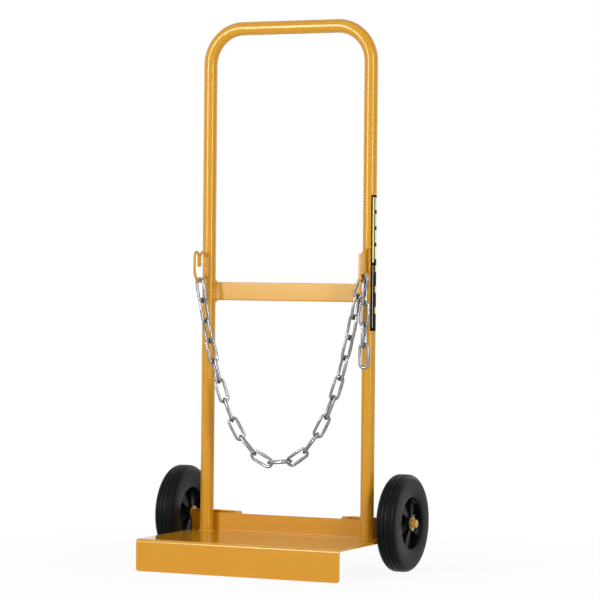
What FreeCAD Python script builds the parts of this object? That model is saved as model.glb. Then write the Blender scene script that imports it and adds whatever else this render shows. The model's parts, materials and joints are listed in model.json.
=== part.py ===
"""Two-wheeled cart for a pair of welding gas cylinders, with a hanging safety chain.

Z is up, +X is to the right seen from the front, and the folded lip of the footplate faces -Y.
The origin is on the floor under the middle of the cart. All sizes are in millimetres.
"""
import FreeCAD, Part
import math
import os

from FreeCAD import Vector

# Handle frame: one bent steel tube
TUBE_RADIUS = 14.0
TUBE_WALL = 2.0
LEG_X = 184.2
FRAME_Y = 54.0
TOP_BAR_Z = 1121.0
HANDLE_BEND = 75.0

# Crossbar: flat bar with rounded edges, coped to the legs
CROSSBAR_BOTTOM = 552.0
CROSSBAR_TOP = 590.0
CROSSBAR_THICKNESS = 6.0
CROSSBAR_EDGE_ROUND = 2.4

# Footplate: one sheet folded into lip, deck and upstand
SHEET = 4.0
PLATE_HALF_WIDTH = 227.0
LIP_FRONT_Y = -180.0
DECK_TOP_Z = 65.5
UPSTAND_FRONT_Y = 68.0
UPSTAND_TOP_Z = 103.5
FOLD_INSIDE = 2.5
PLATE_CORNER = 6.0

# Stub axles and what holds the wheels on
AXLE_RADIUS = 8.0
AXLE_Y = 80.0
AXLE_Z = 100.0
AXLE_INNER_X = 118.0
AXLE_OUTER_X = 284.0
COLLAR_RADIUS = 14.0
COLLAR_X = (228.0, 231.0)
WASHER_RADIUS = 15.0
WASHER_BORE = 8.1
WASHER_X = (272.9, 275.0)
PIN_X = 277.6
PIN_HOLE_RADIUS = 2.1
PIN_WIRE_RADIUS = 1.0
PIN_EYE_RADIUS = 3.4
PIN_EYE_Z = 114.5
PIN_FORK_Z = 89.0
PIN_TIP_Z = 84.5
PIN_SPREAD = 4.5

# Wheels: a rubber tyre on a moulded centre whose spokes widen and thin towards the rim
WHEEL_MID_X = 253.0
TYRE_RADIUS = 100.0
TYRE_HALF_WIDTH = 21.0
TYRE_SEAT_RADIUS = 57.5
SHOULDER = 13.0
RIM_INNER_RADIUS = 54.0
RIM_HALF_WIDTH = 20.0
HUB_RADIUS = 15.0
HUB_X = (231.5, 272.5)
HUB_BORE = 8.06
SPOKES = 5
SPOKE_END_RADII = (11.0, 55.3)
SPOKE_HALF_WIDTHS = (3.5, 14.0)
SPOKE_HALF_DEPTHS = (16.5, 7.0)

# Round wire is drawn eight-sided with the true section area
WIRE_SIDES = 8
WIRE_CORNER = math.sqrt(2 * math.pi / (WIRE_SIDES * math.sin(2 * math.pi / WIRE_SIDES)))
WIRE_FLAT = WIRE_CORNER * math.cos(math.pi / WIRE_SIDES)

# Welded long-link chain: the length is between the wire centres of the two bows
WIRE_RADIUS = 3.0
LINK_BOW_RADIUS = 9.0
LINK_LENGTH = 49.4
LINK_GAP = 0.4
LINK_PITCH = LINK_LENGTH - 2 * WIRE_RADIUS - LINK_GAP
BOW_BENDS = 4
SWAG_LINKS = 20
TWIST_START = -10.0
TWIST_STEP = -8.5
TAIL_LINKS = 4

# Bent rod hook on the left leg
HOOK_ROD_RADIUS = 2.8
HOOK_FRONT_Y = -13.5
HOOK_BOTTOM_Z = 590.8
HOOK_TOP_Z = 652.5
HOOK_END_Z = 622.0
HOOK_FRONT_END_Y = 5.0
HOOK_BACK_END_Y = 11.3
HOOK_BACK_Y = FRAME_Y - TUBE_RADIUS - HOOK_ROD_RADIUS * WIRE_FLAT
HOOK_MID_Y = (HOOK_FRONT_Y + HOOK_BACK_Y) / 2
HOOK_GAP = 0.5

# Hook plate on the right leg
BRACKET_THICKNESS = 5.0
BRACKET_FRONT_Y = 3.0
BRACKET_TOP_Z = 652.6
BRACKET_RAMP_Y = 16.5
BRACKET_WELD_TOP_Z = 662.0
SEAT_Y = 16.5
SEAT_RADIUS = 5.0
SEAT_BOTTOM_Z = 597.8
HOOK_TIP_BACK_Y = 28.0
HOOK_TIP_TOP_Z = 605.6
HOOK_HEEL_Z = 592.8
THROAT_TOP_Z = 612.6

# The link held in the plate's throat, and the first tail link beside the plate
HELD_LINK_TILT = 23.0
TAIL_X = 190.0
TAIL_TOP_Z = 597.0
HELD_BOW_X = 187.95
HELD_BOW_Z = 598.96


def save(name, shape):
    """Write one node of the assembly."""
    if not shape.isValid() or shape.Volume <= 0:
        raise ValueError(name + " is not a valid solid")
    shape.exportStep("parts/" + name + ".step")
    print(f"{name:24s} {shape.Volume / 1000.0:9.2f} cm3 {len(shape.Solids)} solid")


def box(x_range, y_range, z_range):
    """Block between two corners."""
    size = [r[1] - r[0] for r in (x_range, y_range, z_range)]
    return Part.makeBox(*size, Vector(x_range[0], y_range[0], z_range[0]))


def rod_x(radius, x_range, y=AXLE_Y, z=AXLE_Z):
    """Round bar along X."""
    return Part.makeCylinder(
        radius, x_range[1] - x_range[0], Vector(x_range[0], y, z), Vector(1, 0, 0)
    )


def rod_z(radius, z_range, x, y):
    """Round bar along Z."""
    return Part.makeCylinder(radius, z_range[1] - z_range[0], Vector(x, y, z_range[0]))


def mirror_x(shape):
    """The same piece on the other side of the cart."""
    return shape.mirror(Vector(0, 0, 0), Vector(1, 0, 0))


def revolve_x(profile, x_middle):
    """Turn a closed outline of (x, radius) points about the wheel axis."""
    points = [Vector(x_middle + x, AXLE_Y, AXLE_Z + r) for x, r in profile]
    face = Part.Face(Part.makePolygon(points + [points[0]]))
    return face.revolve(Vector(0, AXLE_Y, AXLE_Z), Vector(1, 0, 0), 360)


def edges_along_x(shape, places):
    """Edges that run along X through the listed (y, z) places."""
    found = []
    for edge in shape.Edges:
        ends = [v.Point for v in edge.Vertexes]
        if len(ends) != 2 or abs(ends[0].y - ends[1].y) > 0.01 or abs(ends[0].z - ends[1].z) > 0.01:
            continue
        if any(abs(ends[0].y - y) < 0.01 and abs(ends[0].z - z) < 0.01 for y, z in places):
            found.append(edge)
    return found


def edges_along_y(shape, z_value):
    """Edges at one height that run along Y at the two ends of the sheet."""
    found = []
    for edge in shape.Edges:
        ends = [v.Point for v in edge.Vertexes]
        if len(ends) != 2 or any(abs(p.z - z_value) > 0.01 for p in ends):
            continue
        if abs(ends[0].x - ends[1].x) < 0.01 and abs(abs(ends[0].x) - PLATE_HALF_WIDTH) < 0.01:
            found.append(edge)
    return found


# Handle frame

def handle_frame():
    """Bent tube: up one leg, over the top and down the other. Only the legs are bored."""
    bend_z = TOP_BAR_Z - HANDLE_BEND
    bend_x = LEG_X - HANDLE_BEND
    bar = rod_x(TUBE_RADIUS, (-bend_x, bend_x), FRAME_Y, TOP_BAR_Z)
    leg = rod_z(TUBE_RADIUS, (DECK_TOP_Z, bend_z), LEG_X, FRAME_Y)
    leg = leg.cut(rod_z(TUBE_RADIUS - TUBE_WALL, (DECK_TOP_Z, bend_z), LEG_X, FRAME_Y))
    circle = Part.makeCircle(TUBE_RADIUS, Vector(LEG_X, FRAME_Y, bend_z), Vector(0, 0, 1))
    disc = Part.Face(Part.Wire([circle]))
    bend = disc.revolve(Vector(bend_x, FRAME_Y, bend_z), Vector(0, -1, 0), 90)
    return bar.multiFuse([leg, bend, mirror_x(leg), mirror_x(bend)]).removeSplitter()


def leg_solids(z_range):
    """Both legs as solid bars, used to cope what is welded to them."""
    leg = rod_z(TUBE_RADIUS, z_range, LEG_X, FRAME_Y)
    return [leg, mirror_x(leg)]


def crossbar():
    """Flat bar whose ends are coped to the legs."""
    y_range = (FRAME_Y - CROSSBAR_THICKNESS / 2, FRAME_Y + CROSSBAR_THICKNESS / 2)
    bar = box((-LEG_X, LEG_X), y_range, (CROSSBAR_BOTTOM, CROSSBAR_TOP))
    corners = [(y, z) for y in y_range for z in (CROSSBAR_BOTTOM, CROSSBAR_TOP)]
    bar = bar.makeFillet(CROSSBAR_EDGE_ROUND, edges_along_x(bar, corners))
    for leg in leg_solids((CROSSBAR_BOTTOM, CROSSBAR_TOP)):
        bar = bar.cut(leg)
    return bar


# Footplate

def footplate():
    """Sheet folded down at the front and up at the back, with rounded free corners."""
    back_y = UPSTAND_FRONT_Y + SHEET
    under_z = DECK_TOP_Z - SHEET
    outline = [
        (LIP_FRONT_Y, 0.0),
        (LIP_FRONT_Y, DECK_TOP_Z),
        (UPSTAND_FRONT_Y, DECK_TOP_Z),
        (UPSTAND_FRONT_Y, UPSTAND_TOP_Z),
        (back_y, UPSTAND_TOP_Z),
        (back_y, under_z),
        (LIP_FRONT_Y + SHEET, under_z),
        (LIP_FRONT_Y + SHEET, 0.0),
    ]
    points = [Vector(-PLATE_HALF_WIDTH, y, z) for y, z in outline]
    face = Part.Face(Part.makePolygon(points + [points[0]]))
    plate = face.extrude(Vector(2 * PLATE_HALF_WIDTH, 0, 0))
    outer = [(LIP_FRONT_Y, DECK_TOP_Z), (back_y, under_z)]
    inner = [(LIP_FRONT_Y + SHEET, under_z), (UPSTAND_FRONT_Y, DECK_TOP_Z)]
    plate = plate.makeFillet(FOLD_INSIDE + SHEET, edges_along_x(plate, outer))
    plate = plate.makeFillet(FOLD_INSIDE, edges_along_x(plate, inner))
    plate = plate.makeFillet(PLATE_CORNER, edges_along_y(plate, 0.0))
    plate = plate.makeFillet(PLATE_CORNER, edges_along_y(plate, UPSTAND_TOP_Z))
    for leg in leg_solids((DECK_TOP_Z, UPSTAND_TOP_Z)):
        plate = plate.cut(leg)
    return plate


# Stub axles, collars, washers and split pins

def stub_axle():
    """Right stub axle, with a cross hole for the split pin near its outer end."""
    axle = rod_x(AXLE_RADIUS, (AXLE_INNER_X, AXLE_OUTER_X))
    hole = rod_z(PIN_HOLE_RADIUS, (AXLE_Z - 20, AXLE_Z + 20), PIN_X, AXLE_Y)
    return axle.cut(hole)


def ring(outer, inner, x_range):
    """Flat ring on the wheel axis."""
    return rod_x(outer, x_range).cut(rod_x(inner, x_range))


def split_pin():
    """One wire folded in two: an eye on top, and two tips bent apart under the axle."""
    across, up = Vector(0, 1, 0), Vector(0, 0, 1)
    eye = Vector(PIN_X, AXLE_Y, PIN_EYE_Z)
    half = PIN_WIRE_RADIUS
    opening = math.degrees(math.asin(half / PIN_EYE_RADIUS))

    def at(y, z):
        return Vector(PIN_X, AXLE_Y + y, z)

    points = [at(half + PIN_SPREAD, PIN_TIP_Z), at(half, PIN_FORK_Z)]
    points.append(at(half, PIN_EYE_Z - PIN_EYE_RADIUS))
    points += bend_points(eye, PIN_EYE_RADIUS, opening - 90, 270 - opening, 6, across, up)
    points.append(at(-half, PIN_EYE_Z - PIN_EYE_RADIUS))
    points += [at(-half, PIN_FORK_Z), at(-half - PIN_SPREAD, PIN_TIP_Z)]
    return bent_wire(points, Vector(1, 0, 0), PIN_WIRE_RADIUS, False)


def pair(shape):
    """A piece and its twin on the other side, as two separate solids."""
    return Part.makeCompound([shape, mirror_x(shape)])


# Wheels

def tyre():
    """Right tyre: flat sidewalls, rounded shoulders and a flat tread."""
    flat = TYRE_HALF_WIDTH - SHOULDER
    right = [(TYRE_HALF_WIDTH, TYRE_SEAT_RADIUS)]
    for degrees in (0, 45, 90):
        a = math.radians(degrees)
        x = flat + SHOULDER * math.cos(a)
        right.append((x, TYRE_RADIUS - SHOULDER + SHOULDER * math.sin(a)))
    left = [(-x, r) for x, r in reversed(right)]
    return revolve_x(right + left, WHEEL_MID_X)


def flat_sided(rings, closed):
    """Solid with flat faces between rings of corners."""
    sides = len(rings[0])
    faces = []
    for i in range(len(rings) if closed else len(rings) - 1):
        a, b = rings[i], rings[(i + 1) % len(rings)]
        for k in range(sides):
            n = (k + 1) % sides
            faces.append(Part.Face(Part.makePolygon([a[k], a[n], b[n], b[k], a[k]])))
    if not closed:
        for end in (rings[0], rings[-1]):
            faces.append(Part.Face(Part.makePolygon(end + [end[0]])))
    solid = Part.Solid(Part.Shell(faces))
    return solid if solid.Volume > 0 else solid.reversed()


def spoke(index):
    """One spoke, buried at its ends in the hub and the rim."""
    angle = math.radians(360.0 / SPOKES * (index + 0.5))
    along = Vector(0, math.sin(angle), math.cos(angle))
    across = Vector(0, math.cos(angle), -math.sin(angle))
    rings = []
    for radius, width, depth in zip(SPOKE_END_RADII, SPOKE_HALF_WIDTHS, SPOKE_HALF_DEPTHS):
        middle = Vector(WHEEL_MID_X, AXLE_Y, AXLE_Z) + along * radius
        aside, out = across * width, Vector(depth, 0, 0)
        rings.append([middle - aside - out, middle + aside - out, middle + aside + out, middle - aside + out])
    return flat_sided(rings, False)


def wheel_centre():
    """Right wheel centre: hub with a running bore, spokes and the rim under the tyre."""
    low, high = (x - WHEEL_MID_X for x in HUB_X)
    hub = [(low, HUB_BORE), (high, HUB_BORE), (high, HUB_RADIUS), (low, HUB_RADIUS)]
    rim = [
        (-RIM_HALF_WIDTH, RIM_INNER_RADIUS),
        (RIM_HALF_WIDTH, RIM_INNER_RADIUS),
        (RIM_HALF_WIDTH, TYRE_SEAT_RADIUS),
        (-RIM_HALF_WIDTH, TYRE_SEAT_RADIUS),
    ]
    pieces = [revolve_x(rim, WHEEL_MID_X)] + [spoke(index) for index in range(SPOKES)]
    return revolve_x(hub, WHEEL_MID_X).multiFuse(pieces).removeSplitter()


# Wire forms with flat facets: the chain links and the bent rod hook

def wire_ring(point, normal, direction, side, radius):
    """Corners of the wire's section at one bend of its path, cut on the mitre plane."""
    corners = []
    binormal = direction.cross(side)
    for k in range(WIRE_SIDES):
        a = 2 * math.pi * (k + 0.5) / WIRE_SIDES
        start = point + side * (radius * math.cos(a)) + binormal * (radius * math.sin(a))
        reach = (point - start).dot(normal) / direction.dot(normal)
        corners.append(start + direction * reach)
    return corners


def bent_wire(points, plane_normal, radius, closed):
    """Solid wire along a flat path, drawn with an even-sided section of the true area."""
    count = len(points)
    radius = radius * WIRE_CORNER
    rings = []
    for i, point in enumerate(points):
        before = points[i - 1] if closed or i else points[i]
        after = points[(i + 1) % count] if closed or i < count - 1 else points[i]
        into = point - before
        out = after - point
        direction = Vector(out) if into.Length < 1e-6 else Vector(into)
        direction.normalize()
        mitre = Vector(0, 0, 0)
        for part in (into, out):
            if part.Length > 1e-6:
                mitre += part * (1.0 / part.Length)
        mitre.normalize()
        rings.append(wire_ring(point, mitre, direction, plane_normal, radius))
    return flat_sided(rings, closed)


def bend_points(centre, radius, start, end, bends, first, second):
    """Corners of a bend whose straight steps touch the true arc, angles in degrees."""
    step = (end - start) / bends
    reach = radius / math.cos(math.radians(step) / 2)
    points = []
    for i in range(bends):
        a = math.radians(start + step * (i + 0.5))
        points.append(centre + first * (reach * math.cos(a)) + second * (reach * math.sin(a)))
    return points


def link(centre, up, across):
    """One closed chain link: two bows joined by straight sides."""
    half = LINK_LENGTH / 2 - LINK_BOW_RADIUS
    points = bend_points(centre + up * half, LINK_BOW_RADIUS, 0, 180, BOW_BENDS, across, up)
    points += bend_points(centre - up * half, LINK_BOW_RADIUS, 180, 360, BOW_BENDS, across, up)
    return bent_wire(points, across.cross(up), WIRE_RADIUS, True)


def chain_hook():
    """Rod bent into a loop whose two ends curl over the top and hang side by side."""
    first, second = Vector(0, 1, 0), Vector(0, 0, 1)
    loop = HOOK_BACK_Y - HOOK_MID_Y
    front_lobe = (HOOK_FRONT_END_Y - HOOK_FRONT_Y) / 2
    back_lobe = (HOOK_BACK_Y - HOOK_BACK_END_Y) / 2
    points = [Vector(-LEG_X, HOOK_FRONT_END_Y, HOOK_END_Z)]
    centre = Vector(-LEG_X, HOOK_FRONT_Y + front_lobe, HOOK_TOP_Z - front_lobe)
    points += bend_points(centre, front_lobe, 0, 180, 4, first, second)
    centre = Vector(-LEG_X, HOOK_MID_Y, HOOK_BOTTOM_Z + loop)
    points += bend_points(centre, loop, 180, 360, 8, first, second)
    centre = Vector(-LEG_X, HOOK_BACK_Y - back_lobe, HOOK_TOP_Z - back_lobe)
    points += bend_points(centre, back_lobe, 0, 180, 4, first, second)
    points.append(Vector(-LEG_X, HOOK_BACK_END_Y, HOOK_END_Z))
    return bent_wire(points, Vector(1, 0, 0), HOOK_ROD_RADIUS, False)


def chain_bracket():
    """Hook plate in the plane of the right leg: sloped weld edge above, upturned hook below."""
    x0 = LEG_X - BRACKET_THICKNESS / 2
    leg_y = FRAME_Y - math.sqrt(TUBE_RADIUS ** 2 - (BRACKET_THICKNESS / 2) ** 2)
    seat_z = SEAT_BOTTOM_Z + SEAT_RADIUS
    heel = 8.0

    def at(y, z):
        return Vector(x0, y, z)

    def line(a, b):
        return Part.makeLine(at(*a), at(*b))

    def arc(a, b, c):
        return Part.Arc(at(*a), at(*b), at(*c)).toShape()

    q = heel * (1 - math.sqrt(0.5))
    front, back = BRACKET_FRONT_Y, HOOK_TIP_BACK_Y
    tip = (back - SEAT_Y - SEAT_RADIUS) / 2
    edges = [
        line((front, BRACKET_TOP_Z), (front, HOOK_HEEL_Z + heel)),
        arc((front, HOOK_HEEL_Z + heel), (front + q, HOOK_HEEL_Z + q), (front + heel, HOOK_HEEL_Z)),
        line((front + heel, HOOK_HEEL_Z), (back - heel, HOOK_HEEL_Z)),
        arc((back - heel, HOOK_HEEL_Z), (back - q, HOOK_HEEL_Z + q), (back, HOOK_HEEL_Z + heel)),
        line((back, HOOK_HEEL_Z + heel), (back, HOOK_TIP_TOP_Z - tip)),
        arc((back, HOOK_TIP_TOP_Z - tip), (back - tip, HOOK_TIP_TOP_Z), (back - 2 * tip, HOOK_TIP_TOP_Z - tip)),
        line((back - 2 * tip, HOOK_TIP_TOP_Z - tip), (SEAT_Y + SEAT_RADIUS, seat_z)),
        arc((SEAT_Y + SEAT_RADIUS, seat_z), (SEAT_Y, SEAT_BOTTOM_Z), (SEAT_Y - SEAT_RADIUS, seat_z)),
        line((SEAT_Y - SEAT_RADIUS, seat_z), (SEAT_Y - SEAT_RADIUS, THROAT_TOP_Z)),
        line((SEAT_Y - SEAT_RADIUS, THROAT_TOP_Z), (FRAME_Y, THROAT_TOP_Z)),
        line((FRAME_Y, THROAT_TOP_Z), (FRAME_Y, BRACKET_WELD_TOP_Z)),
        line((FRAME_Y, BRACKET_WELD_TOP_Z), (leg_y, BRACKET_WELD_TOP_Z)),
        line((leg_y, BRACKET_WELD_TOP_Z), (BRACKET_RAMP_Y, BRACKET_TOP_Z)),
        line((BRACKET_RAMP_Y, BRACKET_TOP_Z), (front, BRACKET_TOP_Z)),
    ]
    plate = Part.Face(Part.Wire(edges)).extrude(Vector(BRACKET_THICKNESS, 0, 0))
    leg = rod_z(TUBE_RADIUS, (THROAT_TOP_Z - 10, BRACKET_WELD_TOP_Z + 10), LEG_X, FRAME_Y)
    return plate.cut(leg)


# The hanging chain

def slopes(middle, stiffness, count):
    """Angle of each link in a chain of equal weights: its tangent grows evenly along the chain."""
    return [math.atan((i - middle) / stiffness) for i in range(count)]


def hanging_slopes(span, rise, lengths):
    """Angles of links that hang between two points: bisect on the sag and on the low point."""
    def reach(middle, stiffness):
        angles = slopes(middle, stiffness, len(lengths))
        across = sum(length * math.cos(a) for length, a in zip(lengths, angles))
        upward = sum(length * math.sin(a) for length, a in zip(lengths, angles))
        return across, upward

    low_middle, high_middle = 0.0, float(len(lengths))
    for _ in range(60):
        middle = (low_middle + high_middle) / 2
        low, high = 0.01, 1000.0
        for _ in range(60):
            stiffness = (low + high) / 2
            if reach(middle, stiffness)[0] < span:
                low = stiffness
            else:
                high = stiffness
        if reach(middle, stiffness)[1] > rise:
            low_middle = middle
        else:
            high_middle = middle
    return slopes(middle, stiffness, len(lengths))


def link_rolls():
    """Roll of each link about its own axis: square to the last one, plus the chain's slow twist."""
    return [90 * i + TWIST_START + TWIST_STEP * i for i in range(SWAG_LINKS + 1)]


def link_leads(rolls):
    """From each link's middle to its pivots: a link lying in the bend turns about its bow."""
    swing = LINK_PITCH / 2 - (LINK_LENGTH / 2 - LINK_BOW_RADIUS)
    before = [LINK_LENGTH / 2 - WIRE_RADIUS - HOOK_ROD_RADIUS - HOOK_GAP]
    after = []
    for roll, next_roll in zip(rolls, rolls[1:]):
        shift = swing * math.cos(math.radians(roll + next_roll - 90))
        after.append(LINK_PITCH / 2 - shift)
        before.append(LINK_PITCH / 2 + shift)
    return before, after


def swag_links():
    """The links from the left hook to the right plate, then the link held in its throat."""
    rolls = link_rolls()
    before, after = link_leads(rolls)
    up = Vector(0, 0, 1)
    start = Vector(-LEG_X, HOOK_MID_Y, HOOK_BOTTOM_Z)
    bow = Vector(HELD_BOW_X, SEAT_Y, HELD_BOW_Z)
    along = Vector(bow.x - start.x, bow.y - start.y, 0).normalize()
    out = up.cross(along)
    tilt = math.radians(HELD_LINK_TILT)
    held_up = along * math.sin(tilt) + up * math.cos(tilt)
    held_centre = bow - held_up * (LINK_LENGTH / 2 - LINK_BOW_RADIUS)
    end = held_centre - held_up * before[-1]
    lengths = [b + a for b, a in zip(before, after)]
    angles = hanging_slopes((end - start).dot(along), end.z - start.z, lengths)
    links = []
    pivot = start
    for i, angle in enumerate(angles):
        step = along * math.cos(angle) + up * math.sin(angle)
        roll = math.radians(rolls[i])
        across = step.cross(out) * math.cos(roll) + out * math.sin(roll)
        links.append(link(pivot + step * before[i], step, across))
        pivot += step * lengths[i]
    links.append(link(held_centre, held_up, held_up.cross(out)))
    return links


def tail_links():
    """The loose end that hangs beside the plate, each link square to the one above."""
    links = []
    for i in range(TAIL_LINKS):
        middle = TAIL_TOP_Z - i * LINK_PITCH - LINK_LENGTH / 2
        across = Vector(1, 0, 0) if i % 2 else Vector(0, 1, 0)
        links.append(link(Vector(TAIL_X, SEAT_Y, middle), Vector(0, 0, 1), across))
    return links


def main():
    os.makedirs("parts", exist_ok=True)
    save("handle_frame", handle_frame())
    save("crossbar", crossbar())
    save("footplate", footplate())
    for name, maker in (("stub_axle", stub_axle), ("tyre", tyre), ("wheel_centre", wheel_centre)):
        right = maker()
        save(name + "_right", right)
        save(name + "_left", mirror_x(right))
    save("axle_collars", pair(ring(COLLAR_RADIUS, AXLE_RADIUS, COLLAR_X)))
    save("axle_washers", pair(ring(WASHER_RADIUS, WASHER_BORE, WASHER_X)))
    save("split_pins", pair(split_pin()))
    save("chain_hook", chain_hook())
    save("chain_bracket", chain_bracket())
    for i, shape in enumerate(swag_links()):
        save(f"chain_link_{i + 1:02d}", shape)
    for i, shape in enumerate(tail_links()):
        save(f"tail_link_{i + 1}", shape)


main()
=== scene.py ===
"""Looks of a two-wheeled cart for a pair of gas cylinders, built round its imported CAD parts.

Everything is in metres, in the frame of the CAD parts: Z is up, -Y is the front, +X is the right.
"""
import json
import math

import bpy
import numpy as np
from mathutils import Matrix, Vector

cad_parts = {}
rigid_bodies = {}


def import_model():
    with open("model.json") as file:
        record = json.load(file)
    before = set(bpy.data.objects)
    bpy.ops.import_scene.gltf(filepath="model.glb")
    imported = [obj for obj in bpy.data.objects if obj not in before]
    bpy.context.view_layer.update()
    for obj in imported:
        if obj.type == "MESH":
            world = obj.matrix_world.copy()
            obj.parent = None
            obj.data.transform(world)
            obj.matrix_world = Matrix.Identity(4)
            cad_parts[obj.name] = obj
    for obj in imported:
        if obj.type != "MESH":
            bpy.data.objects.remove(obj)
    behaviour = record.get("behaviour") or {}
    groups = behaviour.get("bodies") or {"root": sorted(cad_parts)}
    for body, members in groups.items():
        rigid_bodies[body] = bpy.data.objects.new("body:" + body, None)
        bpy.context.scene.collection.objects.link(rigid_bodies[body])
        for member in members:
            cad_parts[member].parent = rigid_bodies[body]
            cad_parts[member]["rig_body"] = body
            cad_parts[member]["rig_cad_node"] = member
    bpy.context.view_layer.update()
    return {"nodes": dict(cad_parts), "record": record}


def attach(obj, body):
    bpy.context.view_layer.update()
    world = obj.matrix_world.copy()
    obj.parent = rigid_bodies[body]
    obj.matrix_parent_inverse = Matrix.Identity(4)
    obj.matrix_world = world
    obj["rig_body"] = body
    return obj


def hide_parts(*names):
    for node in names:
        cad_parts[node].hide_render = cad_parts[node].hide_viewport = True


MM = 0.001

# Tube handle and crossbar
TUBE_RADIUS = 14 * MM
TUBE_SIDES = 48
LEG_X = 184.2 * MM
FRAME_Y = 54 * MM
TOP_BAR_Z = 1121 * MM
HANDLE_BEND = 75 * MM
HANDLE_BEND_STEPS = 20
DECK_TOP_Z = 65.5 * MM
CROSSBAR_Z = (552 * MM, 590 * MM)

# Widths of the broken edges
SHEET_EDGES = {"footplate": 0.5 * MM, "crossbar": 0.2 * MM, "chain_bracket": 0.5 * MM}
WHEEL_CENTRE_EDGE = 0.7 * MM
AXLE_EDGE = 1.2 * MM
WASHER_EDGE = 0.3 * MM
COLLAR_EDGE = 0.4 * MM
GROOVE_EDGE = 0.4 * MM

# Angles in degrees from which an edge is broken
SHARP_EDGE = 35
SHARP_GROOVE = 50

# Angles in degrees up to which an edge is shaded smooth
SMOOTH_BAR = 40
SMOOTH_FLAT = 35
SMOOTH_WELD = 60

# Distances within which corners are merged or taken as level, and the angle up to which CAD faces are flat
NEAR = 0.01 * MM
CAD_NEAR = 0.02 * MM
CAD_FLAT = math.radians(1)

# Wheels and axles
WHEEL_X = 253 * MM
AXLE_Y = 80 * MM
AXLE_Z = 100 * MM
AXLE_INNER_X = 118 * MM
TYRE_RADIUS = 100 * MM
TYRE_HALF_WIDTH = 21 * MM
TYRE_LIP_RADIUS = 57 * MM
TYRE_SIDES = 128
TREAD_BAND = 2 * MM
SHOULDER = 13 * MM
SHOULDER_STEPS = 7
GROOVE_DEPTH = 1.8 * MM
GROOVE_HALF_WIDTH = 1.1 * MM
GROOVE_X = (-8.5 * MM, 0.0, 8.5 * MM)

# Split pin
PIN_X = 277.6 * MM
PIN_WIRE = 1.0 * MM
PIN_SIDES = 10
PIN_EYE_RADIUS = 3.4 * MM
PIN_EYE_Z = 114.5 * MM
PIN_EYE_STEPS = 24
PIN_FORK_Z = 89 * MM
PIN_SPREAD = 4.5 * MM

# Chain link, with the swelling of its butt weld in the middle of one side
WIRE_RADIUS = 3 * MM
WIRE_SIDES = 14
LINK_BOW_RADIUS = 9 * MM
LINK_HALF_LENGTH = 24.7 * MM
LINK_STEPS = 28
BUTT_CUTS = 12
BUTT_HALF_LENGTH = 1.4 * MM
BUTT_SWELL = 1.16

# Bent rod hook
HOOK_ROD = 2.8 * MM
HOOK_SIDES = 16
HOOK_LOBE_STEPS = 16
HOOK_LOOP_STEPS = 24
HOOK_FRONT_Y = -13.5 * MM
HOOK_BACK_Y = 37.27 * MM
HOOK_FRONT_END_Y = 5 * MM
HOOK_BACK_END_Y = 11.3 * MM
HOOK_BOTTOM_Z = 590.8 * MM
HOOK_TOP_Z = 652.5 * MM
HOOK_END_Z = 622 * MM

# Form of a weld bead: its ends and its full width are shares of the bead radius, its tapers of its length
BEAD_STEP = 1.5 * MM
FEWEST_STEPS = 6
BEAD_SIDES = 14
BEAD_END = 0.35
BEAD_FULL = 0.9
BEAD_TAPER = 0.12

# Ripples of a weld bead: share of the width, angle turned in one step, and angle at the start
RIPPLES = ((0.14, 2.1, 0), (0.08, 4.7, 1))

# Lumps of a weld bead: size, and depth as a share of the size
LUMP = 2.6 * MM
LUMP_DEPTH = 0.75
LUMP_CONTRAST = 2.2

# Rings of weld at the legs' feet
FOOT_BEAD = 2.6 * MM
FOOT_WELD_RADIUS = TUBE_RADIUS + 0.8 * MM
FOOT_WELD_Z = DECK_TOP_Z + 0.5 * MM
FOOT_WELD_STEPS = 96
FOOT_WELD_SIDES = 12
FOOT_LUMP = 3 * MM
FOOT_LUMP_DEPTH = 1.6 * MM

# Welds round the crossbar's ends
CROSSBAR_WELD_X = LEG_X - 14.6 * MM
CROSSBAR_WELD_FACE = 3.4 * MM
CROSSBAR_WELD_REACH = 6 * MM
CROSSBAR_SIDE_BEAD = 4.6 * MM
CROSSBAR_EDGE_BEAD = 4.4 * MM

# Welds between the stub axles and the footplate's upstand
AXLE_WELD_X = (AXLE_INNER_X + 8 * MM, 222 * MM)
AXLE_WELD_Y = 72.6 * MM
AXLE_WELD_Z = 107.4 * MM
AXLE_BEAD = 2.4 * MM

# Welds of the rod hook, on both sides of the rod
HOOK_WELD_SHIFTS = {"outer": -3.4 * MM, "inner": 3.9 * MM}
HOOK_WELD_Y = 39 * MM
HOOK_WELD_Z = (597 * MM, 646 * MM)
HOOK_BEAD = 3.9 * MM
HOOK_LUMP = 4.2 * MM

# Welds of the hook plate: on both of its faces, and along its sloped upper edge
PLATE_WELD_Z = (612 * MM, 662 * MM)
PLATE_INNER_WELD = (LEG_X - 3.6 * MM, 41 * MM)
PLATE_INNER_BEAD = 2.2 * MM
PLATE_OUTER_WELD = (LEG_X + 5 * MM, 39.4 * MM)
PLATE_OUTER_BEAD = 4 * MM
PLATE_LUMP = 3.6 * MM
RAMP_START = (LEG_X + 1.2 * MM, 17 * MM, 653 * MM)
RAMP_TOP = (LEG_X + 2.5 * MM, 40 * MM, 662.5 * MM)
RAMP_END = (LEG_X + 9 * MM, 43.6 * MM, 667 * MM)
RAMP_BEAD = 2.0 * MM
RAMP_TOP_BEAD = 2.6 * MM

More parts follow.
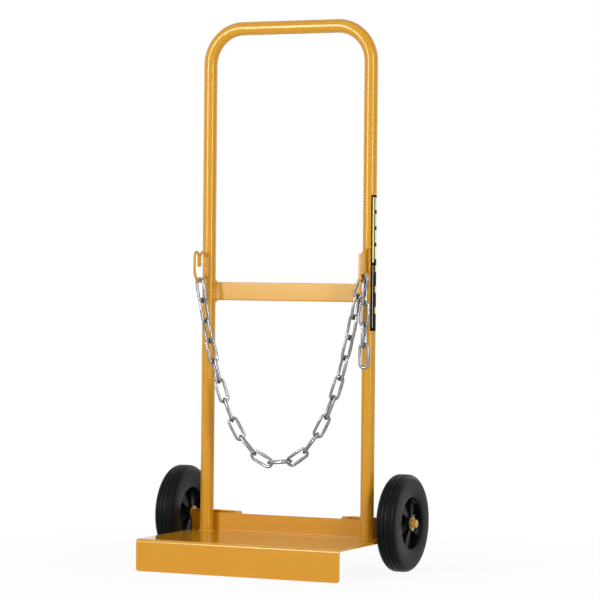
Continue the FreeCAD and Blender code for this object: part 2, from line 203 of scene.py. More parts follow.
# Label on the right leg. Angles run round the leg in radians: 0 is the cart's right, below 0 is its front
LABEL_Z = (493.5 * MM, 772 * MM)
LABEL_HALF_ANGLE = math.radians(58)
LABEL_RADIUS = TUBE_RADIUS + 0.06 * MM
LABEL_SIDES = 96
LABEL_THICKNESS = 0.12 * MM
UPPER_PRINT_Z = (634 * MM, 768 * MM)
LOWER_PRINT_Z = (500 * MM, 628 * MM)
STRIPE_ANGLES = (-0.74, -0.47)
PANEL_ANGLES = (-0.28, 0.9)
PANEL_PITCH = 33.5 * MM
PANEL_SHARE = (0.14, 0.9)
BLOCK_ANGLES = (-0.2, 0.9)
BLOCK_PITCH = 43 * MM
BLOCK_SHARE = (0.3, 0.62)
FINE_LINE_ANGLES = (-0.66, -0.60)
LABEL_BLACK = (0.003, 0.003, 0.0035)
LABEL_YELLOW = (0.9, 0.76, 0.22)
LABEL_WHITE = (0.84, 0.84, 0.82)
LABEL_ROUGHNESS = 0.4
LABEL_SPECULAR = 0.06

# Finishes: noise values that span a range of roughness, and how far a surface turns away before it softens
NOISE_SPAN = (0.3, 0.7)
TURNED_AWAY = (0.55, 0.9)

# Camera, fitted to the photograph
CAMERA_PLACE = Vector((2.4916, -5.2179, 0.6269))
CAMERA_AZIMUTH = math.radians(25.05)
CAMERA_ELEVATION = math.radians(0.71)
CAMERA_ROLL = math.radians(0.54)
CAMERA_LENS = 168.2
SENSOR_WIDTH = 36.0
CAMERA_REACH = 100

# Soft lights: place, point aimed at, width and height, and power in watts
LEFT_BOX = ((-1.35, -2.9, 1.445), (0, 0, 0.9), (0.65, 1.65), 58)
RIGHT_BOX = ((2.8, -1.5, 1.25), (0, 0, 0.8), (0.45, 1.8), 41)
TOP_BOX = ((0, -0.9, 3.0), (0, 0, 0.1), (1.3, 0.4), 5)
BACK_BOX = ((0.9, 3.0, 1.6), (0, 0, 0.5), (2.0, 2.0), 14)

# Surroundings and floor: the floor's shadow fades to plain white between two distances from the origin
FILL_STRENGTH = 0.34
FLOOR_SIZE = 24
FLOOR_GREY = 0.9
FLOOR_ROUGHNESS = 0.9
SHADOW_FADE = (0.3, 1.1)
WHITE_NEAR_CART = 0.92

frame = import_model()
nodes = frame["nodes"]
bodies = {node: body for body, members in frame["record"]["behaviour"]["bodies"].items() for node in members}


# Modelling helpers

def activate(piece):
    """Make one object the only selected one."""
    if bpy.context.object and bpy.context.object.mode == "EDIT":
        bpy.ops.object.mode_set(mode="OBJECT")
    bpy.ops.object.select_all(action="DESELECT")
    piece.select_set(True)
    bpy.context.view_layer.objects.active = piece


def begin(name):
    """Name the primitive just added, and open it in edit mode."""
    piece = bpy.context.object
    piece.name = name
    piece.data.name = name
    bpy.ops.object.transform_apply(location=True, rotation=True, scale=True)
    bpy.ops.object.mode_set(mode="EDIT")
    return piece


def clear_picks(piece, kind):
    """Deselect a whole mesh, and set what is picked next: corners, edges or faces."""
    bpy.ops.object.mode_set(mode="EDIT")
    bpy.ops.mesh.select_mode(type=kind)
    bpy.ops.object.mode_set(mode="OBJECT")
    mesh = piece.data
    for items in (mesh.polygons, mesh.edges, mesh.vertices):
        items.foreach_set("select", [False] * len(items))
    return mesh


def pick_vertices(piece, test):
    """Select the corners that pass a test, in edit mode."""
    for vertex in clear_picks(piece, "VERT").vertices:
        vertex.select = test(vertex.co)
    bpy.ops.object.mode_set(mode="EDIT")


def pick_faces(piece, test):
    """Select the faces that pass a test on their middle and normal, in edit mode."""
    for face in clear_picks(piece, "FACE").polygons:
        face.select = test(face.center, face.normal)
    bpy.ops.object.mode_set(mode="EDIT")


def pick_edges(piece, test):
    """Select the edges whose two ends pass a test, in edit mode."""
    mesh = clear_picks(piece, "EDGE")
    for edge in mesh.edges:
        edge.select = test(*(mesh.vertices[i].co for i in edge.vertices))
    bpy.ops.object.mode_set(mode="EDIT")


def finish(piece, material, slot, body, *replaced, smooth=SMOOTH_BAR):
    """Close a modelled piece: outward faces, smooth shading, its finish, and the body it rides on."""
    activate(piece)
    bpy.ops.object.mode_set(mode="EDIT")
    bpy.ops.mesh.select_all(action="SELECT")
    bpy.ops.mesh.remove_doubles(threshold=NEAR)
    bpy.ops.mesh.normals_make_consistent(inside=False)
    bpy.ops.object.mode_set(mode="OBJECT")
    bpy.ops.object.shade_smooth_by_angle(angle=math.radians(smooth))
    piece.data.materials.clear()
    piece.data.materials.append(material)
    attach(piece, body)
    if replaced:
        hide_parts(*replaced)
    return piece


def apply_modifier(piece, kind, **settings):
    """Add one modifier with its settings and apply it."""
    activate(piece)
    modifier = piece.modifiers.new(kind.title(), kind)
    for key, value in settings.items():
        setattr(modifier, key, value)
    bpy.ops.object.modifier_apply(modifier=modifier.name)


def break_edges(piece, width, degrees=SHARP_EDGE):
    """Round off the edges sharper than an angle."""
    apply_modifier(piece, "BEVEL", width=width, segments=2, limit_method="ANGLE",
                   angle_limit=math.radians(degrees), harden_normals=False)


def bent_round(name, radius, sides, start, moves):
    """A round bar drawn from a level ring through straight runs and bends."""
    bpy.ops.object.select_all(action="DESELECT")
    bpy.ops.mesh.primitive_circle_add(vertices=sides, radius=radius, location=start)
    piece = begin(name)
    bpy.ops.mesh.select_all(action="SELECT")
    for move in moves:
        if move[0] == "run":
            bpy.ops.mesh.extrude_region_move(TRANSFORM_OT_translate={"value": move[1]})
        else:
            centre, axis, degrees, steps = move[1:]
            bpy.ops.mesh.spin(steps=steps, angle=-math.radians(degrees), center=centre, axis=axis)
    bpy.ops.mesh.select_all(action="SELECT")
    bpy.ops.mesh.remove_doubles(threshold=NEAR)
    bpy.ops.mesh.select_all(action="DESELECT")
    bpy.ops.mesh.select_mode(type="VERT")
    bpy.ops.mesh.select_non_manifold()
    bpy.ops.mesh.fill_holes(sides=0)
    bpy.ops.object.mode_set(mode="OBJECT")
    return piece


def merged_copy(node, bevel):
    """A welded copy of a CAD node with its sharp edges slightly broken."""
    piece = nodes[node].copy()
    piece.data = nodes[node].data.copy()
    piece.name = node + "_finished"
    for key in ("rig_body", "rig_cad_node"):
        if key in piece:
            del piece[key]
    piece.parent = None
    bpy.context.scene.collection.objects.link(piece)
    activate(piece)
    bpy.ops.object.mode_set(mode="EDIT")
    bpy.ops.mesh.select_all(action="SELECT")
    bpy.ops.mesh.remove_doubles(threshold=CAD_NEAR)
    bpy.ops.mesh.dissolve_limited(angle_limit=CAD_FLAT)
    bpy.ops.object.mode_set(mode="OBJECT")
    break_edges(piece, bevel)
    return piece


# Material helpers

def object_coordinates(tree):
    """Coordinates fixed to the piece."""
    return tree.nodes.new("ShaderNodeTexCoord").outputs["Object"]


def map_range(tree, value, from_low, from_high, low, high):
    """Map a value from one range to another."""
    node = tree.nodes.new("ShaderNodeMapRange")
    sockets = ("From Min", "From Max", "To Min", "To Max")
    for name, limit in zip(sockets, (from_low, from_high, low, high)):
        node.inputs[name].default_value = limit
    tree.links.new(value, node.inputs["Value"])
    return node


def surface_group():
    """Noise for the fine skin, the broad tone and the mottle of a surface, at scales given per metre."""
    group = bpy.data.node_groups.new("surface", "ShaderNodeTree")
    details = {"Skin": 2.0, "Tone": 2.0, "Mottle": 4.0}
    for name in details:
        group.interface.new_socket(name=name + " scale", in_out="INPUT", socket_type="NodeSocketFloat")
        group.interface.new_socket(name=name, in_out="OUTPUT", socket_type="NodeSocketFloat")
    source = group.nodes.new("NodeGroupInput")
    target = group.nodes.new("NodeGroupOutput")
    place = object_coordinates(group)
    for name, detail in details.items():
        noise = group.nodes.new("ShaderNodeTexNoise")
        noise.inputs["Detail"].default_value = detail
        group.links.new(place, noise.inputs["Vector"])
        group.links.new(source.outputs[name + " scale"], noise.inputs["Scale"])
        group.links.new(noise.outputs["Fac"], target.inputs[name])
    return group


def blend_colours(tree, mask, first, second):
    """Mix two colours, fixed or linked, by a mask."""
    mix = tree.nodes.new("ShaderNodeMix")
    mix.data_type = "RGBA"
    for name, colour in (("A", first), ("B", second)):
        if isinstance(colour, tuple):
            mix.inputs[name].default_value = (*colour, 1)
        else:
            tree.links.new(colour, mix.inputs[name])
    tree.links.new(mask, mix.inputs["Factor"])
    return mix.outputs["Result"]


def soften_at_edges(tree, roughness, grazing):
    """Turn a roughness into another one where the surface is seen edge on."""
    facing = tree.nodes.new("ShaderNodeLayerWeight").outputs["Facing"]
    turned = map_range(tree, facing, *TURNED_AWAY, 0.0, 1.0)
    mix = tree.nodes.new("ShaderNodeMix")
    tree.links.new(turned.outputs["Result"], mix.inputs["Factor"])
    tree.links.new(roughness, mix.inputs["A"])
    mix.inputs["B"].default_value = grazing
    return mix.outputs["Result"]


def new_material(name):
    """A material with only its Principled shader."""
    material = bpy.data.materials.new(name)
    material.use_nodes = True
    return material, material.node_tree, material.node_tree.nodes["Principled BSDF"]


def surface_material(name, scales, tones, gloss, skin_depth, grazing=None):
    """A material on the surface group: two tones and two roughnesses, each pair with its mask, and a skin."""
    material, tree, shader = new_material(name)
    skin = tree.nodes.new("ShaderNodeGroup")
    skin.node_tree = SURFACE
    for socket, scale in zip(("Skin scale", "Tone scale", "Mottle scale"), scales):
        skin.inputs[socket].default_value = scale
    mask, first, second = tones
    tree.links.new(blend_colours(tree, skin.outputs[mask], first, second), shader.inputs["Base Color"])
    mask, low, high = gloss
    roughness = map_range(tree, skin.outputs[mask], *NOISE_SPAN, low, high).outputs["Result"]
    if grazing is not None:
        roughness = soften_at_edges(tree, roughness, grazing)
    tree.links.new(roughness, shader.inputs["Roughness"])
    bump = tree.nodes.new("ShaderNodeBump")
    bump.inputs["Distance"].default_value = skin_depth
    tree.links.new(skin.outputs["Skin"], bump.inputs["Height"])
    tree.links.new(bump.outputs["Normal"], shader.inputs["Normal"])
    return material, shader


# Finishes

def powder_paint(name, first, second, grazing):
    """Glossy powder coat in two near tones with a faint orange-peel skin, and its roughness seen edge on."""
    scales = (420.0, 5.0, 60.0)
    tones = ("Tone", first, second)
    gloss = ("Mottle", 0.19, 0.22)
    material, shader = surface_material(name, scales, tones, gloss, 0.0015 * MM, grazing)
    shader.inputs["Specular IOR Level"].default_value = 0.57
    shader.inputs["Specular Tint"].default_value = (0.75, 0.95, 0.74, 1)
    return material


def zinc_plate():
    """Bright zinc on wire: pale grey mottled darker, partly the zinc's own uneven tone and partly painted
    dark reflection, with painted dark reflection along the wire's edges.
    """
    scales = (1800.0, 60.0, 160.0)
    # Mottle between dark and pale grey: partly the zinc's own uneven tone, partly painted dark reflection
    tones = ("Mottle", (0.17, 0.17, 0.175), (0.40, 0.40, 0.405))
    gloss = ("Tone", 0.14, 0.26)
    material, shader = surface_material("zinc_plate", scales, tones, gloss, 0.01 * MM)
    shader.inputs["Metallic"].default_value = 1.0
    # Dark edge tint: painted dark reflection along the wire's edges
    shader.inputs["Specular Tint"].default_value = (0.12, 0.12, 0.125, 1)
    return material


def passivated_zinc():
    """Yellow-passivated zinc of the washers and the split pins, mottled brown."""
    scales = (2000.0, 90.0, 500.0)
    tones = ("Mottle", (0.09, 0.075, 0.035), (0.50, 0.44, 0.27))
    gloss = ("Tone", 0.24, 0.4)
    material, shader = surface_material("passivated_zinc", scales, tones, gloss, 0.05 * MM)
    shader.inputs["Metallic"].default_value = 1.0
    return material


def tyre_rubber():
    """Black moulded rubber with a dull bloom."""
    scales = (1500.0, 14.0, 140.0)
    tones = ("Tone", (0.0018, 0.0028, 0.0029), (0.0036, 0.0047, 0.0048))
    gloss = ("Mottle", 0.34, 0.46)
    material, shader = surface_material("tyre_rubber", scales, tones, gloss, 0.03 * MM)
    shader.inputs["Specular IOR Level"].default_value = 0.09
    return material


def wheel_plastic():
    """Black moulded plastic with a fine grain."""
    scales = (3000.0, 20.0, 260.0)
    tones = ("Tone", (0.0015, 0.0023, 0.0026), (0.0032, 0.0042, 0.0046))
    gloss = ("Mottle", 0.34, 0.46)
    material, shader = surface_material("wheel_plastic", scales, tones, gloss, 0.02 * MM)
    shader.inputs["Specular IOR Level"].default_value = 0.12
    return material


SURFACE = surface_group()
PAINT = powder_paint("powder_paint", (0.60, 0.268, 0.004), (0.63, 0.288, 0.006), 0.5)
SHEET_PAINT = powder_paint("sheet_paint", (0.61, 0.264, 0.007), (0.64, 0.282, 0.010), 0.08)
ZINC = zinc_plate()
YELLOW_ZINC = passivated_zinc()
RUBBER = tyre_rubber()
PLASTIC = wheel_plastic()


# Painted steel

def handle_tube():
    """The bent handle, up the right leg and down the left."""
    bend_x = LEG_X - HANDLE_BEND
    bend_z = TOP_BAR_Z - HANDLE_BEND
    rise = bend_z - DECK_TOP_Z
    moves = [
        ("run", (0, 0, rise)),
        ("bend", (bend_x, FRAME_Y, bend_z), (0, -1, 0), 90, HANDLE_BEND_STEPS),
        ("run", (-2 * bend_x, 0, 0)),
        ("bend", (-bend_x, FRAME_Y, bend_z), (0, -1, 0), 90, HANDLE_BEND_STEPS),
        ("run", (0, 0, -rise)),
    ]
    piece = bent_round("handle_tube", TUBE_RADIUS, TUBE_SIDES, (LEG_X, FRAME_Y, DECK_TOP_Z), moves)
    finish(piece, PAINT, "yellow_paint", "cart", "handle_frame")


def folded_sheets():
    """Footplate, crossbar and hook plate with their cut edges broken."""
    for node, edge in SHEET_EDGES.items():
        piece = merged_copy(node, edge)
        finish(piece, SHEET_PAINT, "yellow_paint", "cart", node, smooth=SMOOTH_FLAT)
        apply_modifier(piece, "WEIGHTED_NORMAL", keep_sharp=True, weight=100)


def rod_hook():
    """The bent rod that carries the chain's left end: front end, front lobe, loop, back lobe, back end."""
    front_lobe = (HOOK_FRONT_END_Y - HOOK_FRONT_Y) / 2
    back_lobe = (HOOK_BACK_Y - HOOK_BACK_END_Y) / 2
    loop = (HOOK_BACK_Y - HOOK_FRONT_Y) / 2
    front_z = HOOK_TOP_Z - front_lobe
    back_z = HOOK_TOP_Z - back_lobe
    loop_z = HOOK_BOTTOM_Z + loop
    moves = [
        ("run", (0, 0, front_z - HOOK_END_Z)),
        ("bend", (-LEG_X, HOOK_FRONT_Y + front_lobe, front_z), (1, 0, 0), 180, HOOK_LOBE_STEPS),
        ("run", (0, 0, loop_z - front_z)),
        ("bend", (-LEG_X, HOOK_FRONT_Y + loop, loop_z), (1, 0, 0), 180, HOOK_LOOP_STEPS),
        ("run", (0, 0, back_z - loop_z)),
        ("bend", (-LEG_X, HOOK_BACK_Y - back_lobe, back_z), (1, 0, 0), 180, HOOK_LOBE_STEPS),
        ("run", (0, 0, HOOK_END_Z - back_z)),
    ]
    piece = bent_round("rod_hook", HOOK_ROD, HOOK_SIDES, (-LEG_X, HOOK_FRONT_END_Y, HOOK_END_Z), moves)
    finish(piece, PAINT, "yellow_paint", "cart", "chain_hook")


# Welds

def lumpy(piece, size, depth):
    """Give a weld bead its uneven skin."""
    texture = bpy.data.textures.new(piece.name, "CLOUDS")
    texture.noise_scale = size
    texture.contrast = LUMP_CONTRAST
    apply_modifier(piece, "DISPLACE", texture=texture, strength=depth, mid_level=0.5)
    apply_modifier(piece, "SMOOTH", factor=0.5, iterations=2)
    apply_modifier(piece, "SUBSURF", levels=1, render_levels=1)


def foot_weld(side, word):
    """A ring of weld round a leg's foot."""
    bpy.ops.object.select_all(action="DESELECT")
    bpy.ops.mesh.primitive_torus_add(major_radius=FOOT_WELD_RADIUS, minor_radius=FOOT_BEAD,
                                     major_segments=FOOT_WELD_STEPS, minor_segments=FOOT_WELD_SIDES,
                                     location=(side * LEG_X, FRAME_Y, FOOT_WELD_Z))
    piece = begin("foot_weld_" + word)
    bpy.ops.object.mode_set(mode="OBJECT")
    lumpy(piece, FOOT_LUMP, FOOT_LUMP_DEPTH)
    finish(piece, PAINT, "yellow_paint", "cart", smooth=SMOOTH_WELD)


def bead_width(step, along):
    """Width of a bead at one of its steps: narrow at both ends and rippled between them."""
    swell = math.sin(math.pi * min(along, 1 - along, BEAD_TAPER) / (2 * BEAD_TAPER)) * BEAD_FULL
    ripple = sum(share * math.sin(step * turn + start) for share, turn, start in RIPPLES)
    return max(BEAD_END, swell * (1 + ripple))


def weld_line(name, start, end, bead, lump=LUMP):
    """A straight run of weld: a small disc drawn on in short steps that swell and narrow."""
    start = Vector(start)
    run = Vector(end) - start
    steps = max(FEWEST_STEPS, round(run.length / BEAD_STEP))
    turn = run.to_track_quat("Z", "Y").to_euler()
    bpy.ops.object.select_all(action="DESELECT")
    bpy.ops.mesh.primitive_circle_add(vertices=BEAD_SIDES, radius=bead * BEAD_END, fill_type="NGON",
                                      location=start, rotation=turn)
    piece = begin(name)
    bpy.ops.mesh.select_all(action="SELECT")
    width = BEAD_END
    for step in range(1, steps + 1):
        along = step / steps
        bpy.ops.mesh.extrude_region_move(TRANSFORM_OT_translate={"value": run / steps})
        wanted = bead_width(step, along)
        bpy.ops.transform.resize(value=(wanted / width,) * 3, center_override=start + run * along)
        width = wanted
    bpy.ops.object.mode_set(mode="OBJECT")
    lumpy(piece, lump, lump * LUMP_DEPTH)
    finish(piece, PAINT, "yellow_paint", "cart", smooth=SMOOTH_WELD)


def crossbar_welds(side, word):
    """Beads on the four sides of one end of the crossbar."""
    x = side * CROSSBAR_WELD_X
    bottom, top = CROSSBAR_Z
    for where, edge in (("front", -1), ("back", 1)):
        y = FRAME_Y + edge * CROSSBAR_WELD_FACE
        weld_line(f"crossbar_weld_{where}_{word}", (x, y, bottom), (x, y, top), CROSSBAR_SIDE_BEAD)
    front_y = FRAME_Y - CROSSBAR_WELD_REACH
    back_y = FRAME_Y + CROSSBAR_WELD_REACH
    for where, z in (("top", top), ("bottom", bottom)):
        weld_line(f"crossbar_weld_{where}_{word}", (x, front_y, z), (x, back_y, z), CROSSBAR_EDGE_BEAD)


def axle_weld(side, word):
    """A bead between a stub axle and the back of the upstand."""
    start, end = ((side * x, AXLE_WELD_Y, AXLE_WELD_Z) for x in AXLE_WELD_X)
    weld_line("axle_weld_" + word, start, end, AXLE_BEAD)


def hook_welds():
    """Beads between the rod hook and the left leg."""
    for word, shift in HOOK_WELD_SHIFTS.items():
        start, end = ((shift - LEG_X, HOOK_WELD_Y, z) for z in HOOK_WELD_Z)
        weld_line("hook_weld_" + word, start, end, HOOK_BEAD, HOOK_LUMP)


def plate_welds():
    """Beads between the hook plate and the right leg, and a cap of weld along its sloped edge."""
    for word, place, bead in (("inner", PLATE_INNER_WELD, PLATE_INNER_BEAD),
                              ("outer", PLATE_OUTER_WELD, PLATE_OUTER_BEAD)):
        start, end = ((*place, z) for z in PLATE_WELD_Z)
        weld_line("plate_weld_" + word, start, end, bead, PLATE_LUMP)
    weld_line("ramp_weld", RAMP_START, RAMP_TOP, RAMP_BEAD)
    weld_line("ramp_weld_top", RAMP_TOP, RAMP_END, RAMP_TOP_BEAD)


def welds():
    """Every bead of weld on the cart."""
    for side, word in ((-1, "left"), (1, "right")):
        foot_weld(side, word)
        crossbar_welds(side, word)
        axle_weld(side, word)
    hook_welds()
    plate_welds()


# Wheels

def tyre_piece(side, word):
    """Rubber tyre: a drum with a bore, rounded shoulders and grooves pressed into its tread."""
    middle = side * WHEEL_X

    def radius_of(place):
        return math.hypot(place.y - AXLE_Y, place.z - AXLE_Z)

    def on_tread(place):
        return radius_of(place) > TYRE_RADIUS - TREAD_BAND

    def is_tread_edge(a, b):
        return abs(a.x - b.x) < NEAR and on_tread(a) and on_tread(b)

    def is_groove_face(place, normal):
        in_groove = any(abs(place.x - middle - groove) < GROOVE_HALF_WIDTH for groove in GROOVE_X)
        return in_groove and on_tread(place)

    bpy.ops.object.select_all(action="DESELECT")
    bpy.ops.mesh.primitive_cylinder_add(vertices=TYRE_SIDES, radius=TYRE_RADIUS, depth=2 * TYRE_HALF_WIDTH,
                                        location=(middle, AXLE_Y, AXLE_Z), rotation=(0, math.pi / 2, 0))
    piece = begin("tyre_" + word)
    pick_faces(piece, lambda place, normal: abs(normal.x) > 0.9)
    bpy.ops.mesh.inset(thickness=TYRE_RADIUS - TYRE_LIP_RADIUS)
    bpy.ops.mesh.bridge_edge_loops()
    pick_edges(piece, is_tread_edge)
    bpy.ops.mesh.bevel(offset=SHOULDER, segments=SHOULDER_STEPS, affect="EDGES")
    for groove in GROOVE_X:
        for edge in (-GROOVE_HALF_WIDTH, GROOVE_HALF_WIDTH):
            bpy.ops.mesh.select_all(action="SELECT")
            bpy.ops.mesh.bisect(plane_co=(middle + groove + edge, 0, 0), plane_no=(1, 0, 0))
    pick_faces(piece, is_groove_face)
    bpy.ops.mesh.extrude_region_shrink_fatten(TRANSFORM_OT_shrink_fatten={"value": -GROOVE_DEPTH})
    bpy.ops.object.mode_set(mode="OBJECT")
    break_edges(piece, GROOVE_EDGE, SHARP_GROOVE)
    finish(piece, RUBBER, "tyre", "wheel_" + word, "tyre_" + word, smooth=SMOOTH_FLAT)


def split_pin(side, word):
    """Folded wire pin: tips bent apart under the axle and an eye above it."""
    x = side * PIN_X
    opening = math.degrees(math.asin(PIN_WIRE / PIN_EYE_RADIUS))
    neck_z = PIN_EYE_Z - math.sqrt(PIN_EYE_RADIUS ** 2 - PIN_WIRE ** 2)
    moves = [
        ("run", (0, -PIN_SPREAD, PIN_SPREAD)),
        ("run", (0, 0, neck_z - PIN_FORK_Z)),
        ("bend", (x, AXLE_Y, PIN_EYE_Z), (1, 0, 0), 360 - 2 * opening, PIN_EYE_STEPS),
        ("run", (0, 0, PIN_FORK_Z - neck_z)),
        ("run", (0, -PIN_SPREAD, -PIN_SPREAD)),
    ]
    start = (x, AXLE_Y + PIN_WIRE + PIN_SPREAD, PIN_FORK_Z - PIN_SPREAD)
    piece = bent_round("split_pin_" + word, PIN_WIRE, PIN_SIDES, start, moves)
    return finish(piece, YELLOW_ZINC, "zinc", "cart")


def finished_copy(node, edge, material, slot, body):
    """A CAD node's copy with broken edges, in its place."""
    finish(merged_copy(node, edge), material, slot, body, node, smooth=SMOOTH_FLAT)


def wheels():
    """Both wheels with their axles, collars, washers and pins."""
    pins = []
    for side, word in ((-1, "left"), (1, "right")):
        tyre_piece(side, word)
        finished_copy("wheel_centre_" + word, WHEEL_CENTRE_EDGE, PLASTIC, "wheel_plastic", "wheel_" + word)
        finished_copy("stub_axle_" + word, AXLE_EDGE, PAINT, "yellow_paint", "cart")
        pins.append(split_pin(side, word))
    for pin in pins:
        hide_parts("split_pins")
    finished_copy("axle_washers", WASHER_EDGE, YELLOW_ZINC, "zinc", "cart")
    finished_copy("axle_collars", COLLAR_EDGE, PAINT, "yellow_paint", "cart")


# Chain

def model_link():
    """One welded link at the origin, long side along Z and lying in the XZ plane."""
    bpy.ops.object.select_all(action="DESELECT")
    bpy.ops.mesh.primitive_torus_add(major_radius=LINK_BOW_RADIUS, minor_radius=WIRE_RADIUS,
                                     major_segments=LINK_STEPS, minor_segments=WIRE_SIDES,
                                     rotation=(math.pi / 2, 0, 0))
    piece = begin("chain_link_pattern")
    straight = LINK_HALF_LENGTH - LINK_BOW_RADIUS
    pick_vertices(piece, lambda place: place.z > NEAR)
    bpy.ops.transform.translate(value=(0, 0, straight))
    pick_vertices(piece, lambda place: place.z < -NEAR)
    bpy.ops.transform.translate(value=(0, 0, -straight))
    pick_faces(piece, lambda place, normal: place.x > 0 and abs(place.z) < WIRE_RADIUS)
    bpy.ops.mesh.subdivide(number_cuts=BUTT_CUTS)
    pick_vertices(piece, lambda place: place.x > 0 and abs(place.z) < BUTT_HALF_LENGTH)
    bpy.ops.transform.resize(value=(BUTT_SWELL, BUTT_SWELL, 1), center_override=(LINK_BOW_RADIUS, 0, 0))
    bpy.ops.object.mode_set(mode="OBJECT")
    return piece


def link_frame(node):
    """Middle and axes of a CAD link, read from its corners: wide axis, normal and long axis."""
    corners = np.array([vertex.co for vertex in nodes[node].data.vertices])
    axes = np.linalg.eigh(np.cov((corners - corners.mean(axis=0)).T))[1]
    long_axis, wide_axis = Vector(axes[:, 2]), Vector(axes[:, 1])
    if long_axis.z < 0:
        long_axis.negate()
    if wide_axis.x + wide_axis.y < 0:
        wide_axis.negate()
    normal = long_axis.cross(wide_axis)
    turn = Matrix((wide_axis, normal, long_axis)).transposed().to_4x4()
    return Matrix.Translation(Vector((corners.max(axis=0) + corners.min(axis=0)) / 2)) @ turn


def chain():
    """A smooth welded link in the place of each CAD link."""
    pattern = model_link()
    for node in [name for name in nodes if "link" in name]:
        piece = pattern.copy()
        piece.data = pattern.data.copy()
        piece.name = node + "_wire"
        bpy.context.scene.collection.objects.link(piece)
        piece.data.transform(link_frame(node))
        finish(piece, ZINC, "zinc", bodies[node], node, smooth=SMOOTH_WELD)
    bpy.data.objects.remove(pattern)


# Label on the right leg

def label_print():
    """Generic print on the label: a dark ground, a yellow stripe, blank pale panels and yellow blocks."""
    material, tree, shader = new_material("label_print")
    place = tree.nodes.new("ShaderNodeSeparateXYZ")
    tree.links.new(object_coordinates(tree), place.inputs["Vector"])
    along = place.outputs["Z"]

    def maths(operation, *values):
        node = tree.nodes.new("ShaderNodeMath")
        node.operation = operation
        for socket, value in zip(node.inputs, values):
            if isinstance(value, (int, float)):
                socket.default_value = value
            else:
                tree.links.new(value, socket)
        return node.outputs["Value"]

    def between(value, limits):
        low, high = limits
        return maths("MULTIPLY", maths("GREATER_THAN", value, low), maths("LESS_THAN", value, high))

    def rows(pitch, share):
        return between(maths("FRACT", maths("DIVIDE", along, pitch)), share)

    from_leg_y = maths("SUBTRACT", place.outputs["Y"], FRAME_Y)
    from_leg_x = maths("SUBTRACT", place.outputs["X"], LEG_X)
    around = maths("ARCTAN2", from_leg_y, from_leg_x)
    upper = between(along, UPPER_PRINT_Z)
    lower = between(along, LOWER_PRINT_Z)
    stripe = maths("MULTIPLY", between(around, STRIPE_ANGLES), upper)
    panels = maths("MULTIPLY", between(around, PANEL_ANGLES), rows(PANEL_PITCH, PANEL_SHARE))
    upper_panels = maths("MULTIPLY", panels, upper)
    blocks = maths("MULTIPLY", between(around, BLOCK_ANGLES), rows(BLOCK_PITCH, BLOCK_SHARE))
    lower_blocks = maths("MULTIPLY", blocks, lower)
    fine_line = maths("MULTIPLY", between(around, FINE_LINE_ANGLES), lower)
    yellow = maths("ADD", stripe, lower_blocks)
    white = maths("ADD", upper_panels, fine_line)
    ground = blend_colours(tree, yellow, LABEL_BLACK, LABEL_YELLOW)
    tree.links.new(blend_colours(tree, white, ground, LABEL_WHITE), shader.inputs["Base Color"])
    shader.inputs["Roughness"].default_value = LABEL_ROUGHNESS
    shader.inputs["Specular IOR Level"].default_value = LABEL_SPECULAR
    return material


def leg_label():
    """A thin sheet wrapped round the outer side of the right leg."""
    height = LABEL_Z[1] - LABEL_Z[0]
    bpy.ops.object.select_all(action="DESELECT")
    bpy.ops.mesh.primitive_cylinder_add(vertices=LABEL_SIDES, radius=LABEL_RADIUS, depth=height,
                                        end_fill_type="NOTHING",
                                        location=(LEG_X, FRAME_Y, LABEL_Z[0] + height / 2))
    piece = begin("leg_label")
    pick_faces(piece, lambda place, normal:
               abs(math.atan2(place.y - FRAME_Y, place.x - LEG_X)) > LABEL_HALF_ANGLE)
    bpy.ops.mesh.delete(type="FACE")
    bpy.ops.object.mode_set(mode="OBJECT")
    apply_modifier(piece, "SOLIDIFY", thickness=LABEL_THICKNESS, offset=1.0)
    finish(piece, label_print(), "yellow_paint", "cart")


# Studio

def camera():
    """The photograph's camera."""
    azimuth, elevation = CAMERA_AZIMUTH, CAMERA_ELEVATION
    forward = Vector((-math.sin(azimuth) * math.cos(elevation), math.cos(azimuth) * math.cos(elevation),
                      -math.sin(elevation)))
    level = Vector((math.cos(azimuth), math.sin(azimuth), 0))
    upright = level.cross(forward)
    right = level * math.cos(CAMERA_ROLL) + upright * math.sin(CAMERA_ROLL)
    up = upright * math.cos(CAMERA_ROLL) - level * math.sin(CAMERA_ROLL)
    data = bpy.data.cameras.new("camera")
    data.lens = CAMERA_LENS
    data.sensor_width = SENSOR_WIDTH
    data.clip_end = CAMERA_REACH
    eye = bpy.data.objects.new("camera", data)
    eye.matrix_world = Matrix.Translation(CAMERA_PLACE) @ Matrix((right, up, -forward)).transposed().to_4x4()
    bpy.context.scene.collection.objects.link(eye)
    bpy.context.scene.camera = eye


def soft_box(name, place, aim, size, power):
    """A rectangular soft light at a place, facing a point."""
    data = bpy.data.lights.new(name, "AREA")
    data.shape = "RECTANGLE"
    data.size, data.size_y = size
    data.energy = power
    lamp = bpy.data.objects.new(name, data)
    direction = Vector(aim) - Vector(place)
    lamp.matrix_world = Matrix.Translation(place) @ direction.to_track_quat("-Z", "Y").to_matrix().to_4x4()
    bpy.context.scene.collection.objects.link(lamp)


def combine(tree, operation, first, second):
    """Combine two linked values."""
    node = tree.nodes.new("ShaderNodeMath")
    node.operation = operation
    tree.links.new(first, node.inputs[0])
    tree.links.new(second, node.inputs[1])
    return node.outputs["Value"]


def seen_directly(tree):
    """A mask of the rays by which the camera, a reflection or glass shows a surface."""
    rays = tree.nodes.new("ShaderNodeLightPath").outputs
    shown = combine(tree, "MAXIMUM", rays["Is Camera Ray"], rays["Is Glossy Ray"])
    return combine(tree, "MAXIMUM", shown, rays["Is Transmission Ray"])


def mix_shaders(tree, mask, plain, white, output):
    """Send a plain shader to the output, and a white one where the mask is one."""
    mix = tree.nodes.new("ShaderNodeMixShader")
    tree.links.new(mask, mix.inputs["Fac"])
    tree.links.new(plain, mix.inputs[1])
    tree.links.new(white, mix.inputs[2])
    tree.links.new(mix.outputs["Shader"], tree.nodes[output].inputs["Surface"])


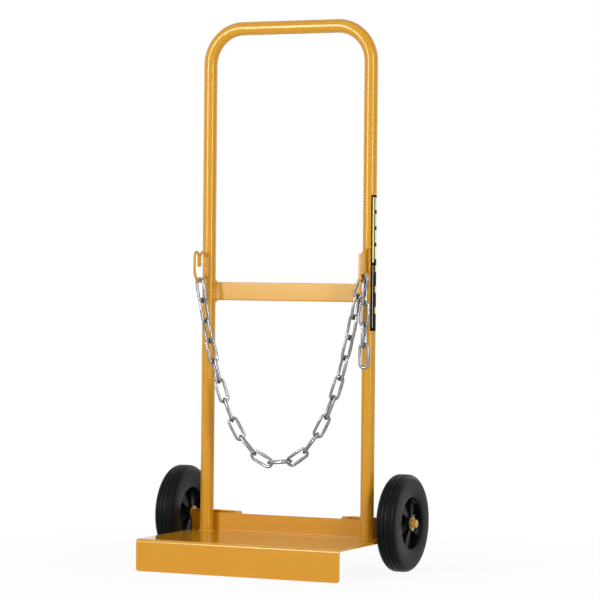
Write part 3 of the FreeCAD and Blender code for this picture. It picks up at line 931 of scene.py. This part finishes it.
def away_from_cart(tree):
    """A value that grows to one away from the origin, so that the shadow fades out on the floor."""
    length = tree.nodes.new("ShaderNodeVectorMath")
    length.operation = "LENGTH"
    tree.links.new(object_coordinates(tree), length.inputs[0])
    ramp = map_range(tree, length.outputs["Value"], *SHADOW_FADE, WHITE_NEAR_CART, 1.0)
    ramp.interpolation_type = "SMOOTHSTEP"
    return ramp.outputs["Result"]


def surroundings():
    """Even soft fill that looks plain white."""
    world = bpy.data.worlds.new("studio")
    bpy.context.scene.world = world
    world.use_nodes = True
    tree = world.node_tree
    fill = tree.nodes["Background"]
    fill.inputs["Color"].default_value = (1, 1, 1, 1)
    fill.inputs["Strength"].default_value = FILL_STRENGTH
    white = tree.nodes.new("ShaderNodeBackground")
    white.inputs["Color"].default_value = (1, 1, 1, 1)
    mix_shaders(tree, seen_directly(tree), fill.outputs["Background"], white.outputs["Background"],
                "World Output")


def pale_floor():
    """A pale floor that keeps the cart's soft shadow."""
    bpy.ops.object.select_all(action="DESELECT")
    bpy.ops.mesh.primitive_plane_add(size=FLOOR_SIZE)
    floor = bpy.context.object
    floor.name = "floor"
    material, tree, shader = new_material("floor")
    shader.inputs["Base Color"].default_value = (FLOOR_GREY, FLOOR_GREY, FLOOR_GREY, 1)
    shader.inputs["Roughness"].default_value = FLOOR_ROUGHNESS
    glow = tree.nodes.new("ShaderNodeEmission")
    whiteness = combine(tree, "MULTIPLY", seen_directly(tree), away_from_cart(tree))
    mix_shaders(tree, whiteness, shader.outputs["BSDF"], glow.outputs["Emission"], "Material Output")
    floor.data.materials.append(material)


def lamps():
    """Two tall soft lights in front, and weak ones above and behind."""
    soft_box("left_box", *LEFT_BOX)
    soft_box("right_box", *RIGHT_BOX)
    soft_box("top_box", *TOP_BOX)
    soft_box("back_box", *BACK_BOX)


handle_tube()
folded_sheets()
rod_hook()
welds()
wheels()
chain()
leg_label()
camera()
surroundings()
pale_floor()
lamps()
bpy.context.scene.view_settings.view_transform = "Standard"
